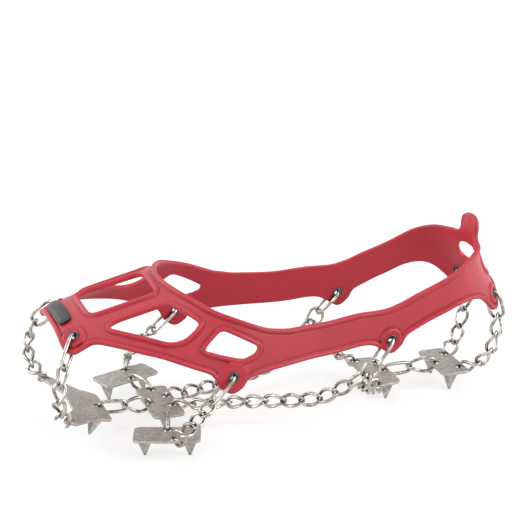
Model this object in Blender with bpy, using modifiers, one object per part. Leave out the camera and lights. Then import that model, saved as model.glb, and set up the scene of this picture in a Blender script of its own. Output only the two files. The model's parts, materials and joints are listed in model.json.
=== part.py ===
"""Shoe ice cleats: a moulded elastomer harness, steel eyelets, twisted-link chain and spike plates.

Worn shape, one cleat of a pair. Toe towards -X, the wearer's left at -Y, +Z up, spike tips at z = 0.
Sizes below are millimetres and are turned into metres where a mesh is made.
"""

import math
from functools import lru_cache

import bmesh
import bpy
import numpy as np
from mathutils import Euler, Matrix, Vector
from mathutils.geometry import delaunay_2d_cdt

MM = 0.001
WELD = 0.00001
ON_PLANE = 0.002

# Boot form that the harness is stretched over. A station runs from toe to heel, then round the heel.
STATION = (-140, -125, -112, -98, -75, -50, -27, 0, 30, 60, 85, 110, 145, 180)
HALF_WIDTH = (22, 36, 43, 48, 54, 57, 57.5, 54, 48, 44.5, 43, 42, 46, 50.5)
ARCH_HEIGHT = (24, 31, 37, 42, 47, 53, 64, 82, 100, 112, 115, 114, 117, 120)
ROUNDNESS = (2.5, 2.5, 2.5, 2.5, 2.5, 2.5, 2.5, 2.5, 2.5, 2.5, 2.5, 2.4, 1.9, 1.5)
FORM_BASE = 40.0
HEEL_X = 110.0
BACK = 180.0
HEEL_ARC = (BACK - HEEL_X) / (math.pi / 2)
# How far the heel stands out from that form, by height above its base, growing from one station to another.
FLARE_RISE = (0, 15, 24, 29, 33, 37, 41, 48, 55, 61, 68, 80, 120)
FLARE = (4.0, 2.9, 1.6, 0.5, -1.0, -2.8, -4.2, -5.0, -3.8, -1.6, 0.3, 0.5, 0.0)
FLARE_STATIONS = (125.0, 165.0)

# Harness wall.
WALL = 3.2
RIM = 2.6
RIM_SLOPE = 0.7
WEB_DROP = 0.8
EDGE_STEP = 10.0
WEB_STEP = 11.5
PATCH_STEP = 4.0

# Eyelets.
EYELET_BORE = 4.2
EYELET_BARREL = 5.2
EYELET_FLANGE = 6.8
FLANGE_THICK = 0.5
EYELET_STEPS = 12
BOSS = 1.2
BOSS_SLOPE = 0.5
GAP = 0.33

# Chain.
WIRE = 1.9
LINK_GAP = 0.65
FUSED = 0.9
LINK_HALF_WIDTH = 3.4
PLATE_LINK_HALF_WIDTH = 4.2
EYELET_LINK_HALF_WIDTH = 4.2
JUNCTION_HALF_WIDTH = 4.8
JUNCTION_SPREAD = 1.7
JUNCTION_BEARING = 0.6
EYELET_BEARING = 0.4
REAR_LEAN = -1.0
HOLE_BEARING = 1.6
WIRE_SIDES = 5

# Spike plates.
PLATE_THICK = 1.6
PLATE_TOP = 13.5
PLATE_CORNER = 4.0
HOLE = 5.4
HOLE_STEPS = 10
SPIKE_WIDTH = 10.0
SPIKE_DEPTH = 3.6
SPIKE_WALL = 1.5
SPIKE_REACH = 13.5
SPIKE_TIP = (0.1, 0.35)
SPIKE_ROOT = 0.4

RED = (0.61, 0.065, 0.095, 1.0)
DARK = (0.035, 0.036, 0.038, 1.0)
STEEL = (0.62, 0.60, 0.57, 1.0)
GREY_STEEL = (0.42, 0.42, 0.42, 1.0)


def monotone(xs, ys):
    """A smooth curve through the points that never overshoots them."""
    xs = np.array(xs, float)
    ys = np.array(ys, float)
    width = np.diff(xs)
    rise = np.diff(ys) / width
    slope = np.zeros(len(xs))
    slope[0] = rise[0]
    slope[-1] = rise[-1]
    for i in range(1, len(xs) - 1):
        if rise[i - 1] * rise[i] > 0:
            one = 2 * width[i] + width[i - 1]
            two = width[i] + 2 * width[i - 1]
            slope[i] = (one + two) / (one / rise[i - 1] + two / rise[i])

    def value(x):
        x = np.clip(x, xs[0], xs[-1])
        i = np.clip(np.searchsorted(xs, x, "right") - 1, 0, len(xs) - 2)
        t = (x - xs[i]) / width[i]
        a = (1 + 2 * t) * (1 - t) ** 2 * ys[i] + t * (1 - t) ** 2 * width[i] * slope[i]
        b = t * t * (3 - 2 * t) * ys[i + 1] + t * t * (t - 1) * width[i] * slope[i + 1]
        return a + b

    return value


half_width = monotone(STATION, HALF_WIDTH)
arch_height = monotone(STATION, ARCH_HEIGHT)
roundness = monotone(STATION, ROUNDNESS)
flare = monotone(FLARE_RISE, FLARE)
flare_share = monotone(FLARE_STATIONS, (0, 1))


@lru_cache(maxsize=200000)
def section(a):
    """Distance from the middle, height and girth of the form at a station, from the side up to the top."""
    power = 2 / roundness(a)
    turn = np.linspace(0, math.pi / 2, 240)
    out = half_width(a) * np.maximum(np.cos(turn), 0) ** power
    high = FORM_BASE + arch_height(a) * np.sin(turn) ** power
    out = out + flare_share(a) * flare(high - FORM_BASE)
    girth = np.concatenate(([0], np.cumsum(np.hypot(np.diff(out), np.diff(high)))))
    out[-1] = 0
    return out, high, girth


def surface(a, c):
    """The point at station a, a girth c down from the top line. Positive c is the wearer's left."""
    out, high, girth = section(round(min(a, 2 * BACK - a), 5))
    up = girth[-1] - abs(c)
    if up < 0:
        rho = out[0]
        z = high[0] + up
    else:
        rho = np.interp(up, girth, out)
        z = np.interp(up, girth, high)
    side = -1 if c >= 0 else 1
    if a <= HEEL_X:
        return np.array((a, side * rho, z))
    turn = (a - HEEL_X) / HEEL_ARC
    return np.array((HEEL_X + rho * math.sin(turn), side * rho * math.cos(turn), z))


def axes(a, c):
    e = 0.05
    along = (surface(a + e, c) - surface(a - e, c)) / (2 * e)
    down = (surface(a, c + e) - surface(a, c - e)) / (2 * e)
    normal = np.cross(down, along)
    return along, down, normal / np.linalg.norm(normal)


def shift(point, step):
    """Moves a pattern point by a step given in space."""
    along, down, _ = axes(*point)
    grid = np.array((along, down))
    move = np.linalg.solve(grid @ grid.T, grid @ step)
    return point[0] + move[0], point[1] + move[1]


def side(a, rise):
    """The pattern point on the left at station a, a height above the form's base."""
    _, high, girth = section(round(a, 5))
    up = np.interp(FORM_BASE + rise, high, girth) if rise > 0 else rise
    return a, girth[-1] - up


def lift(point, height):
    return surface(*point) + axes(*point)[2] * height


def spline(points, step, closed=False, start=None, end=None):
    """A smooth line through pattern points. An open one leaves its mirror line squarely at each end."""
    points = [np.array(p, float) for p in points]
    if closed:
        ring = [points[-1]] + points + points[:2]
    else:
        ring = [mirrored(points[1], start)] + points + [mirrored(points[-2], end)]
    line = []
    for p0, p1, p2, p3 in zip(ring, ring[1:], ring[2:], ring[3:]):
        count = max(1, round(np.linalg.norm(p2 - p1) / step))
        for k in range(count):
            t = k / count
            line.append(
                0.5
                * (
                    2 * p1
                    + (p2 - p0) * t
                    + (2 * p0 - 5 * p1 + 4 * p2 - p3) * t * t
                    + (3 * p1 - p0 - 3 * p2 + p3) * t**3
                )
            )
    if not closed:
        line.append(points[-1])
    return [tuple(p) for p in line]


def mirrored(point, line):
    return np.array((point[0], -point[1])) if line == "top" else np.array((2 * BACK - point[0], point[1]))


def inset(loop, distance, closed, start=None, end=None):
    """The line moved into the wall by a distance along the form."""
    if distance == 0:
        return list(loop)
    moved = []
    for i, point in enumerate(loop):
        if closed:
            before = loop[i - 1]
            after = loop[(i + 1) % len(loop)]
        else:
            before = loop[i - 1] if i else tuple(mirrored(loop[1], start))
            after = loop[i + 1] if i + 1 < len(loop) else tuple(mirrored(loop[-2], end))
        run = surface(*after) - surface(*before)
        inward = np.cross(axes(*point)[2], run)
        new = shift(point, inward / np.linalg.norm(inward) * distance)
        line = start if i == 0 else end if i + 1 == len(loop) else None
        if not closed and line == "top":
            new = (new[0], 0.0)
        if not closed and line == "back":
            new = (BACK, new[1])
        moved.append(new)
    return moved


def inside(point, loops):
    odd = False
    for loop in loops:
        for (x0, y0), (x1, y1) in zip(loop, loop[1:] + loop[:1]):
            if (y0 > point[1]) != (y1 > point[1]):
                if point[0] < x0 + (point[1] - y0) / (y1 - y0) * (x1 - x0):
                    odd = not odd
    return odd


def fill(loops, spacing):
    """Triangles between closed loops, the first one outside, with extra points at a spacing."""
    points = [p for loop in loops for p in loop]
    edges = []
    first = 0
    for loop in loops:
        edges += [(first + i, first + (i + 1) % len(loop)) for i in range(len(loop))]
        first += len(loop)
    rim = np.array(points)
    if spacing:
        low = rim.min(axis=0)
        high = rim.max(axis=0)
        for row, y in enumerate(np.arange(low[1], high[1], spacing * 0.87)):
            for x in np.arange(low[0] + (row % 2) * spacing / 2, high[0], spacing):
                if np.hypot(*(rim - (x, y)).T).min() > 0.55 * spacing and inside((x, y), loops):
                    points.append((float(x), float(y)))
    found = delaunay_2d_cdt([Vector(p) for p in points], edges, [], 0, 1e-7)
    where = [source[0] for source in found[3]]
    faces = []
    for face in found[2]:
        corners = [where[i] for i in face]
        middle = np.mean([points[i] for i in corners], axis=0)
        if inside(middle, loops):
            faces.append(corners)
    return points, faces


def shell(pieces, holes, steps, floor, spacing, bosses=(), boss_steps=()):
    """A wall over the form. Pieces join end to end into the outside edge, steps are (inset, height) pairs."""
    verts = []
    faces = []

    def add(point, height):
        verts.append(lift(point, height))
        return len(verts) - 1

    lines = [(p, False, s, e, steps) for p, s, e in pieces]
    lines += [(h, True, None, None, steps) for h in holes]
    lines += [(b, True, None, None, boss_steps) for b in bosses]
    inner = []
    tops = []
    for line, closed, start, end, levels in lines:
        before = None
        for distance, height in levels:
            loop = inset(line, distance, closed, start, end)
            ring = [add(p, height) for p in loop]
            if before is None:
                tops.append(ring)
            else:
                for i in range(len(ring) - (not closed)):
                    j = (i + 1) % len(ring)
                    faces.append((before[i], before[j], ring[j], ring[i]))
            before = ring
        inner.append((loop, before))

    def cover(rings, height, flip, gap):
        count = max(len(pieces), 1)
        outside = [p for loop, _ in rings[:count] for p in loop]
        numbers = [n for loop, ring in rings for n in ring]
        points, found = fill([outside] + [loop for loop, _ in rings[count:]], gap)
        for p in points[len(numbers):]:
            numbers.append(add(p, height))
        for face in found:
            corners = [numbers[i] for i in face]
            faces.append(corners[::-1] if flip else corners)

    cover(inner, steps[-1][1], False, spacing)
    under = []
    for (line, closed, *_), top in zip(lines, tops):
        ring = [add(p, floor) for p in line]
        for i in range(len(ring) - (not closed)):
            j = (i + 1) % len(ring)
            faces.append((top[i], ring[i], ring[j], top[j]))
        under.append((line, ring))
    cover(under, floor, True, spacing * 1.2)
    return verts, faces


def place(obj, matrix=None):
    """Puts an object in the part's collection, under the empty that carries the whole part."""
    PART.objects.link(obj)
    obj.parent = FRAME
    obj.matrix_local = matrix or Matrix()
    return obj


def mesh_object(name, verts, faces, material):
    """A mesh object from millimetre points, its faces turned outwards."""
    mesh = bpy.data.meshes.new(name)
    mesh.from_pydata([Vector(v) * MM for v in verts], [], faces)
    bm = bmesh.new()
    bm.from_mesh(mesh)
    bmesh.ops.recalc_face_normals(bm, faces=bm.faces[:])
    bm.to_mesh(mesh)
    bm.free()
    mesh.materials.append(material)
    return bpy.data.objects.new(name, mesh)


def curve_object(name, loops, material, flat=False):
    """Closed lines through millimetre points, as a wire or, when flat, as the edges of a sheet."""
    curve = bpy.data.curves.new(name, "CURVE")
    curve.dimensions = "2D" if flat else "3D"
    curve.fill_mode = "BOTH" if flat else "FULL"
    for loop in loops:
        line = curve.splines.new("POLY")
        line.points.add(len(loop) - 1)
        line.use_cyclic_u = True
        for point, co in zip(line.points, loop):
            point.co = (*(Vector(co).to_3d() * MM), 1)
    curve.materials.append(material)
    return bpy.data.objects.new(name, curve)


def meshed(obj):
    """The object with its modifiers or its curve made into a welded mesh."""
    bpy.context.view_layer.update()
    graph = bpy.context.evaluated_depsgraph_get()
    mesh = bpy.data.meshes.new_from_object(obj.evaluated_get(graph))
    bm = bmesh.new()
    bm.from_mesh(mesh)
    bmesh.ops.remove_doubles(bm, verts=bm.verts[:], dist=WELD)
    bm.to_mesh(mesh)
    bm.free()
    whole = bpy.data.objects.new(obj.name, mesh)
    place(whole, obj.matrix_local)
    name = obj.name
    bpy.data.objects.remove(obj)
    whole.name = name
    return whole


def united(first, others):
    """One mesh object from pieces that run into each other."""
    for other in others:
        join = first.modifiers.new("join", "BOOLEAN")
        join.operation = "UNION"
        join.object = other
    whole = meshed(first)
    for other in others:
        bpy.data.objects.remove(other)
    return whole


def clockwise(loop):
    """A hole's line, turned so that the wall is on the same side as along the outside edge."""
    area = sum(x0 * y1 - x1 * y0 for (x0, y0), (x1, y1) in zip(loop, loop[1:] + loop[:1]))
    return loop if area > 0 else loop[::-1]


def circle(centre, radius, count):
    along, _, normal = axes(*centre)
    one = along / np.linalg.norm(along)
    two = np.cross(normal, one)
    turns = [2 * math.pi * i / count for i in range(count)]
    return [shift(centre, radius * (math.cos(t) * one + math.sin(t) * two)) for t in turns]


# Pattern of the left half. Each point is (station, girth from the top line) or side(station, rise).
EYES = {
    "toe": (-110.3, 27.7),
    "ball": side(-27.4, 8.0),
    "side": side(74.5, 11.4),
    "rear": side(156.0, 24.5),
}
TOE_TO_HEEL = [
    (-118.8, 0.0), (-118.7, 8.0), (-118.5, 19.6), (-117.9, 29.0), (-116.2, 34.6), (-111.8, 38.4),
    (-106.5, 38.6), (-100.5, 39.2), (-91.3, 45.7), side(-78.0, 25.6), side(-64.3, 21.3),
    side(-43.4, 12.3), side(-38.0, 8.0), side(-34.6, 1.8), side(-27.9, -2.4), side(-21.2, 0.6),
    side(-16.9, 5.2), side(-4.1, 7.1), side(15.8, 8.2), side(40.9, 8.9), side(60.0, 9.9),
    side(67.0, 7.0), side(74.7, 2.6), side(81.2, 6.6), side(85.0, 12.2), side(92.6, 16.0),
    side(102.5, 20.0), side(117.8, 25.4), side(130.5, 27.4), side(139.0, 25.6), side(146.5, 20.0),
    side(151.0, 15.6), side(156.5, 14.2), side(161.5, 16.2), side(166.0, 21.5), side(172.0, 25.6),
    side(180.0, 26.8),
]
HEEL_WINDOW = [
    side(180.0, 34.0), side(168.0, 34.8), side(162.6, 38.0), side(161.8, 42.6), side(165.4, 46.8),
    side(171.5, 48.6), side(180.0, 49.0),
]
TAB_TO_APEX = [
    side(180.0, 68.0), side(172.8, 67.2), side(168.6, 64.4), side(167.6, 60.4), side(167.4, 57.0),
    side(164.0, 54.6), side(155.0, 54.0), side(140.0, 53.4), side(126.0, 50.0), side(112.4, 44.4),
    side(92.3, 37.0), side(79.3, 32.2), side(65.6, 30.1), side(36.8, 29.0), side(12.8, 29.4),
    side(1.4, 30.9), side(-6.5, 33.1), side(-20.1, 39.0), side(-33.0, 44.2), (-40.3, 39.6),
    (-46.5, 28.0), (-51.0, 14.5), (-52.6, 0.0),
]
TOP_WINDOW = [
    (-59.8, 0.0), (-59.9, 11.5), (-60.9, 15.6), (-65.0, 17.0), (-78.0, 17.3), (-92.0, 17.6),
    (-96.6, 16.6), (-98.3, 12.5), (-98.6, 0.0),
]
SIDE_WINDOW = [
    side(-90.4, 37.7), side(-85.5, 39.8), side(-74.0, 42.6), side(-61.4, 45.4), side(-56.6, 46.0),
    side(-53.2, 45.0), side(-44.4, 39.6), side(-45.0, 37.2), side(-48.4, 34.4), side(-53.4, 31.6),
    side(-59.8, 30.6), side(-66.2, 31.8), side(-86.5, 36.4),
]
REAR_WINDOW = [
    side(-41.8, 25.6), side(-34.6, 32.4), side(-31.4, 33.8), side(-27.6, 32.6), side(-14.4, 25.0),
    side(-11.4, 22.4), side(-12.8, 19.6), side(-17.4, 17.8), side(-22.1, 17.6), side(-38.0, 23.0),
]
PATCH = [
    (-115.2, -16.0), (-115.2, 10.0), (-114.2, 13.4), (-111.6, 14.4), (-109.0, 13.2), (-108.0, 10.0),
    (-108.0, -16.0), (-109.0, -19.4), (-111.6, -20.6), (-114.2, -19.4),
]


def harness():
    pieces = [
        (spline(TOE_TO_HEEL, EDGE_STEP, start="top", end="back"), "top", "back"),
        (spline(HEEL_WINDOW, EDGE_STEP, start="back", end="back"), "back", "back"),
        (spline(TAB_TO_APEX, EDGE_STEP, start="back", end="top"), "back", "top"),
        (spline(TOP_WINDOW, EDGE_STEP, start="top", end="top"), "top", "top"),
    ]
    holes = [clockwise(spline(w, EDGE_STEP, closed=True)) for w in (SIDE_WINDOW, REAR_WINDOW)]
    bosses = [clockwise(circle(c, EYELET_BARREL / 2 + GAP, 10)) for c in EYES.values()]
    steps = ((0, 0), (RIM, 0), (RIM + RIM_SLOPE, -WEB_DROP))
    boss_steps = ((0, 0), (BOSS, 0), (BOSS + BOSS_SLOPE, -WEB_DROP))
    verts, faces = shell(pieces, holes, steps, -WALL, WEB_STEP, bosses, boss_steps)
    verts = [v * (1, 0, 1) if abs(v[1]) < ON_PLANE else v for v in verts]
    half = mesh_object("harness", verts, faces, RUBBER)
    mirror = half.modifiers.new("right half", "MIRROR")
    mirror.use_axis = (False, True, False)
    mirror.merge_threshold = WELD
    return place(half)


def toe_patch():
    line = clockwise(spline(PATCH, PATCH_STEP, closed=True))[::-1]
    verts, faces = shell([], [line], ((0, 0.2), (0.5, 0.6)), GAP - WEB_DROP, PATCH_STEP)
    return place(mesh_object("toe_patch", verts, faces, DARK_RUBBER))


def flip(point, hand):
    return np.array((point[0], point[1] * hand, point[2]), float)


def eyelet(name, centre, normal):
    """A turned ring with a flange on each face of the wall."""
    bore = EYELET_BORE / 2
    barrel = EYELET_BARREL / 2
    flange = EYELET_FLANGE / 2
    half = WALL / 2 + GAP
    face = half + FLANGE_THICK
    upper = [(bore, face), (flange, face), (flange, half), (barrel, half)]
    profile = upper + [(r, -h) for r, h in reversed(upper)]
    mesh = bpy.data.meshes.new(name)
    edges = [(i, (i + 1) % len(profile)) for i in range(len(profile))]
    mesh.from_pydata([(r * MM, 0, h * MM) for r, h in profile], edges, [])
    mesh.materials.append(EYELET_STEEL)
    ring = bpy.data.objects.new(name, mesh)
    turn = ring.modifiers.new("turn", "SCREW")
    turn.steps = EYELET_STEPS
    turn.render_steps = EYELET_STEPS
    turn.use_merge_vertices = True
    turn.merge_threshold = WELD
    matrix = Vector(normal).to_track_quat("Z", "Y").to_matrix().to_4x4()
    matrix.translation = Vector(centre) * MM
    return place(ring, matrix)


def link(begin, end, out_begin, out_end, turn, half, gap):
    """Middle line of one wire link between two contact points. turn is (first, last) in quarter turns."""
    reach = end - begin
    length = np.linalg.norm(reach)
    axis = reach / length
    tip = length / 2 + WIRE / 2 + gap / 2
    middle = (begin + end) / 2
    straight = max(tip - half, 0.2)
    path = []
    for t in (-90, -45, 0, 45, 90):
        r = math.radians(t)
        path.append((straight + half * math.cos(r), half * math.sin(r)))
    path.append((0.0, half))
    for t in (90, 135, 180, 225, 270):
        r = math.radians(t)
        path.append((-straight + half * math.cos(r), half * math.sin(r)))
    path.append((0.0, -half))
    centres = []
    for x, y in path:
        s = min(max((x + straight) / (2 * straight), 0), 1)
        out = out_begin * (1 - s) + out_end * s
        out = out - axis * (out @ axis)
        out = out / np.linalg.norm(out)
        across = np.cross(axis, out)
        angle = (turn[0] + (turn[1] - turn[0]) * s) * math.pi / 2
        wide = math.cos(angle) * across + math.sin(angle) * out
        centres.append(middle + axis * x + wide * y)
    return centres


def towards(begin, end, out):
    """A frame with its origin at begin, X towards end and Z near out."""
    x = Vector(end - begin).normalized()
    y = Vector(out).cross(x).normalized()
    matrix = Matrix((x, y, x.cross(y))).transposed().to_4x4()
    matrix.translation = Vector(begin) * MM
    return matrix


def wire_section():
    """The outline that a wire is swept with."""
    turns = [-2 * math.pi * k / WIRE_SIDES for k in range(WIRE_SIDES)]
    ring = [(WIRE / 2 * math.cos(t), WIRE / 2 * math.sin(t)) for t in turns]
    guide = curve_object("wire_section", [ring], STEEL_BRIGHT, flat=True)
    guide.hide_render = True
    guide.display_type = "WIRE"
    GUIDES.objects.link(guide)
    return guide


def wire(name, loop, matrix):
    """A closed wire through points of the part, drawn in a frame of its own."""
    back = matrix.inverted()
    local = [back @ (Vector(p) * MM) / MM for p in loop]
    obj = curve_object(name, [local], STEEL_BRIGHT)
    obj.data.bevel_mode = "OBJECT"
    obj.data.bevel_object = WIRE_SECTION
    return place(obj, matrix)


def along_path(points, count):
    """count + 1 points at equal distances along a smooth line through the points."""
    points = [np.array(p, float) for p in points]
    ring = [2 * points[0] - points[1]] + points + [2 * points[-1] - points[-2]]
    line = []
    for p0, p1, p2, p3 in zip(ring, ring[1:], ring[2:], ring[3:]):
        for t in np.linspace(0, 1, 40, endpoint=False):
            curve = 2 * p1 + (p2 - p0) * t + (2 * p0 - 5 * p1 + 4 * p2 - p3) * t * t
            line.append(0.5 * (curve + (3 * p1 - p0 - 3 * p2 + p3) * t**3))
    line.append(points[-1])
    line = np.array(line)
    gone = np.concatenate(([0], np.cumsum(np.linalg.norm(np.diff(line, axis=0), axis=1))))
    marks = np.linspace(0, gone[-1], count + 1)
    return [np.array([np.interp(m, gone, line[:, k]) for k in range(3)]) for m in marks]


def run(
    name, points, groups, out_begin, out_end,
    first_turn=0, half=LINK_HALF_WIDTH, last_turn=1, hand=1, lie=None,
):
    """A length of chain. groups: the links in each object. lie: where each inner contact faces."""
    contacts = along_path(points, sum(groups))
    total = sum(groups)
    outs = [out_begin + (out_end - out_begin) * i / total for i in range(total + 1)]
    if lie:
        outs[1:-1] = lie
    outs = [o / np.linalg.norm(o) for o in outs]
    at = 0
    for number, size in enumerate(groups, 1):
        loops = []
        for i in range(at, at + size):
            turn = (first_turn if i == 0 else 0, last_turn if i == total - 1 else 1)
            turn = (-hand * turn[0], -hand * turn[1])
            joined = -FUSED if size > 1 else LINK_GAP
            begin, end = contacts[i], contacts[i + 1]
            if size > 1:
                axis = (end - begin) / np.linalg.norm(end - begin)
                keep = (LINK_GAP - joined) / 2
                begin = begin - axis * keep if i == at else begin
                end = end + axis * keep if i == at + size - 1 else end
            to_plate = half == LINK_HALF_WIDTH and i == total - 1
            wide = PLATE_LINK_HALF_WIDTH if to_plate else half
            loops.append(link(begin, end, outs[i], outs[i + 1], turn, wide, joined))
        label = name if len(groups) == 1 else f"{name}_{number}"
        matrix = towards(contacts[at], contacts[at + size], outs[at])
        wires = [wire(label, loop, matrix) for loop in loops]
        if size > 1:
            united(meshed(wires[0]), [meshed(w) for w in wires[1:]])
        at += size


def rounded(corners, radius, count=2):
    """A polygon with its corners rounded."""
    corners = [np.array(c, float) for c in corners]
    line = []
    for before, corner, after in zip(corners[-1:] + corners[:-1], corners, corners[1:] + corners[:1]):
        one = (before - corner) / np.linalg.norm(before - corner)
        two = (after - corner) / np.linalg.norm(after - corner)
        half = math.acos(max(-1, min(1, one @ two))) / 2
        cut = min(radius / math.tan(half), 0.45 * np.linalg.norm(before - corner))
        cut = min(cut, 0.45 * np.linalg.norm(after - corner))
        p0 = corner + one * cut
        p2 = corner + two * cut
        for k in range(count + 1):
            t = k / count
            line.append(tuple((1 - t) ** 2 * p0 + 2 * t * (1 - t) * corner + t * t * p2))
    return line


def prong(name, turn, where):
    """A spike of bent sheet, V-shaped at the plate and running down to a point."""
    w = SPIKE_WIDTH / 2
    d = SPIKE_DEPTH / 2
    foot = ((-w, -d), (0, d), (w, -d), (w, -d + SPIKE_WALL), (0, d + SPIKE_WALL), (-w, -d + SPIKE_WALL))
    middle = np.mean(foot, axis=0)
    tip = [middle + (np.array(p) - middle) * SPIKE_TIP for p in foot]
    verts = [(*p, SPIKE_ROOT - PLATE_THICK / 2) for p in foot]
    verts += [(*p, PLATE_THICK / 2 - SPIKE_REACH) for p in tip]
    faces = [(i, (i + 1) % 6, (i + 1) % 6 + 6, i + 6) for i in range(6)]
    faces += [(0, 1, 4, 5), (1, 2, 3, 4), (6, 7, 10, 11), (7, 8, 9, 10)]
    spike = mesh_object(name, verts, faces, STEEL_DULL)
    return place(spike, Matrix.Translation(Vector(where).to_3d() * MM) @ Matrix.Rotation(turn, 4, "Z"))


def plate(name, corners, holes, spikes, pivot, seat):
    """A stamped plate with spikes folded down from it, drawn about the line that it rocks on."""
    ring = [2 * math.pi * k / HOLE_STEPS for k in range(HOLE_STEPS)]
    loops = [rounded(corners, PLATE_CORNER)]
    loops += [[(x + HOLE / 2 * math.cos(t), y + HOLE / 2 * math.sin(t)) for t in ring] for x, y in holes]
    loops = [[Vector(p) - Vector(pivot) for p in loop] for loop in loops]
    sheet = curve_object(name, loops, STEEL_DULL, flat=True)
    sheet.data.extrude = PLATE_THICK / 2 * MM
    prongs = [prong(name + "_spike", turn, Vector((x, y)) - Vector(pivot)) for x, y, turn in spikes]
    whole = united(meshed(place(sheet)), prongs)
    whole.matrix_local = seat @ Matrix.Translation(Vector(pivot).to_3d() * MM)
    return whole


def seated(origin, heading=0.0, pitch=0.0):
    """A plate's frame from the middle of its top face: heading turns about Z, pitch lifts the toe end."""
    matrix = Matrix.LocRotScale(Vector(origin) * MM, Euler((0, pitch, heading)), None)
    return matrix @ Matrix.Translation((0, 0, -PLATE_THICK / 2 * MM))


def on_plate(plate_name, x, y):
    """A point in the middle of a plate's thickness."""
    return np.array(PLATES[plate_name][4] @ Vector((x * MM, y * MM, 0))) / MM


def principled(name, colour, rough, metal):
    material = bpy.data.materials.new(name)
    material.use_nodes = True
    shader = material.node_tree.nodes["Principled BSDF"]
    shader.inputs["Base Color"].default_value = colour
    shader.inputs["Roughness"].default_value = rough
    shader.inputs["Metallic"].default_value = metal
    material.diffuse_color = colour
    return material


for old in list(bpy.data.objects):
    bpy.data.objects.remove(old)
PART = bpy.data.collections.new("shoe_ice_cleats")
bpy.context.scene.collection.children.link(PART)
GUIDES = bpy.data.collections.new("guides")
bpy.context.scene.collection.children.link(GUIDES)
FRAME = bpy.data.objects.new("shoe_ice_cleats", None)
PART.objects.link(FRAME)
RUBBER = principled("red_elastomer", RED, 0.45, 0.0)
DARK_RUBBER = principled("dark_elastomer", DARK, 0.6, 0.0)
STEEL_BRIGHT = principled("bright_steel", STEEL, 0.25, 1.0)
STEEL_DULL = principled("plate_steel", STEEL, 0.4, 1.0)
EYELET_STEEL = principled("eyelet_steel", GREY_STEEL, 0.35, 1.0)

WIRE_SECTION = wire_section()

harness()
toe_patch()

# Plates. Each is drawn in its own flat frame, x along the boot and y to the wearer's right.
SPIKE_Y = 14.0
LEFT_HEADING = math.radians(-19)
BALL_SIDE = ((-19, -9.5), (19, -9.5), (19, 9.5), (-19, 9.5))
PLATES = {
    "plate_front": (
        (
            (-20, -35), (-12, -36), (4, -22), (14.5, -19), (14.5, 19), (4, 22), (-12, 36), (-20, 35),
            (-8, 12), (-8, -12),
        ),
        ((-14.4, -32.0), (-14.4, 32.0), (10.7, 0)),
        ((5.5, -SPIKE_Y, 0), (5.5, SPIKE_Y, math.pi)),
        (4, 0),
        seated((-101, 0, 19.5), pitch=math.radians(19)),
    ),
    "plate_ball_left": (
        BALL_SIDE,
        ((4.4, -6.3), (0, 5.8)),
        ((-12.7, 0, 0), (12.7, 0, 0)),
        (0, -3),
        seated((-62.8, -44.8, PLATE_TOP), LEFT_HEADING),
    ),
    "plate_ball_right": (
        BALL_SIDE,
        ((0, -5.8), (4.4, 6.3)),
        ((-12.7, 0, math.pi), (12.7, 0, math.pi)),
        (0, 3),
        seated((-62.8, 44.8, PLATE_TOP), -LEFT_HEADING),
    ),
    "plate_ball_centre": (
        ((-9.5, -22), (9.5, -22), (9.5, 22), (-9.5, 22)),
        ((0, -18.2), (0, 18.2), (-5.6, 0), (5.6, -6.5), (5.6, 6.5)),
        ((0, -10.5, 0), (0, 10.5, math.pi)),
        (0, 0),
        seated((-54, 0, PLATE_TOP)),
    ),
    "plate_heel_front": (
        ((-9, -23), (9, -20), (9, 20), (-9, 23)),
        ((-5, -18.6), (-5, 18.6), (5.2, 0)),
        ((2, -13.5, 0), (2, 13.5, math.pi)),
        (0, 0),
        seated((83, 0, PLATE_TOP)),
    ),
    "plate_heel_rear": (
        ((-9, -20), (9, -20), (9, 20), (-9, 20)),
        ((5.4, -11), (5.4, 11), (-5.4, 0)),
        ((-2, -14, 0), (-2, 14, math.pi)),
        (0, 0),
        seated((129.5, 0, PLATE_TOP)),
    ),
}
for plate_name, (corners, holes, spikes, pivot, seat) in PLATES.items():
    plate(plate_name, corners, holes, spikes, pivot, seat)


def hole_contact(plate_name, index, goal):
    """Where a link pulling towards a point bears on the rim of a plate's hole."""
    _, holes, _, _, seat = PLATES[plate_name]
    centre = on_plate(plate_name, *holes[index])
    normal = np.array(seat.col[2])[:3]
    pull = np.array(goal, float) - centre
    pull = pull - normal * (pull @ normal)
    return centre + pull / np.linalg.norm(pull) * HOLE_BEARING


DOWN = np.array((0, 0, -1.0))
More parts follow.
